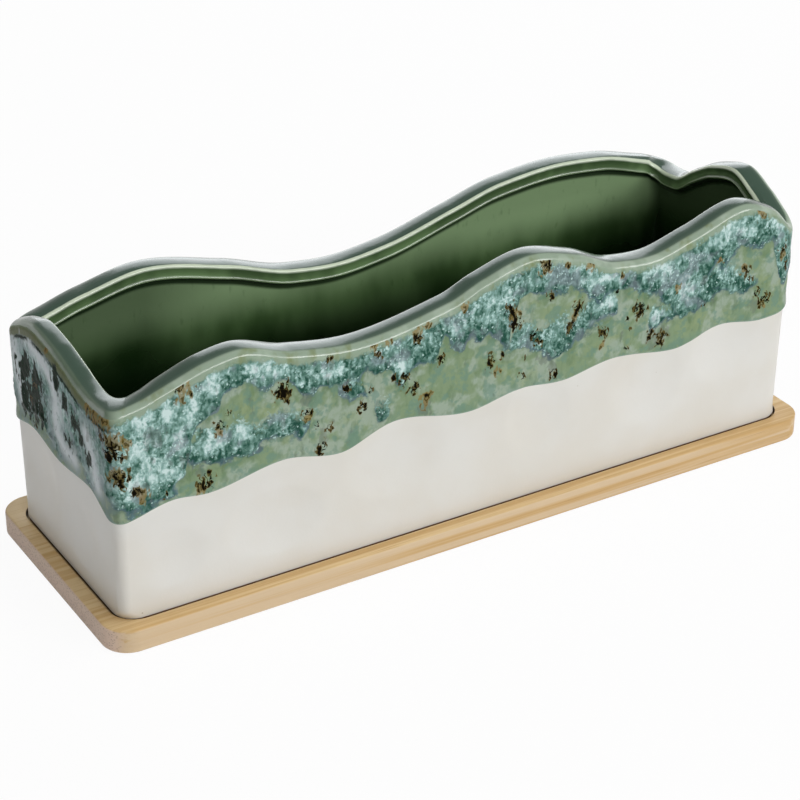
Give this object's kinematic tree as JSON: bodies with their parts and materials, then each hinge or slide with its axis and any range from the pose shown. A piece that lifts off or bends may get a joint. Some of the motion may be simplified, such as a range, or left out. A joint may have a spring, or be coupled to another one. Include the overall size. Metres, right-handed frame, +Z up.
{
  "type": "rectangular planter with tray",
  "caption": "Long rectangular ceramic planter with a waved rim, dark green liner glaze and a reactive glaze band outside, standing in the recess of a bamboo tray.",
  "frame": {"origin": "centre of the tray's underside", "axes": "+X along the long walls, +Y from the front wall to the back wall, +Z up"},
  "size_m": [0.32, 0.108, 0.1143],
  "materials": {
    "clay": "cream satin stoneware",
    "liner_glaze": "glossy dark green, thin and grey-green over the rim",
    "reactive_glaze": "glossy celadon with aqua crystals and brown iron spots",
    "bamboo": "sanded bamboo, grain along the length, clear matt finish"
  },
  "bodies": {
    "tray": {"tray_strip_1": "bamboo", "tray_strip_2": "bamboo", "tray_strip_3": "bamboo", "tray_strip_4": "bamboo", "tray_strip_5": "bamboo"},
    "pot": {"clay_body": "clay", "liner_glaze": "liner_glaze", "reactive_glaze_band": "reactive_glaze"}
  },
  "joints": [
    {"name": "pot_lift", "type": "slide", "parent": "tray", "child": "pot", "axis": [0, 0, 1], "range_m": [0, 0.12]}
  ]
}
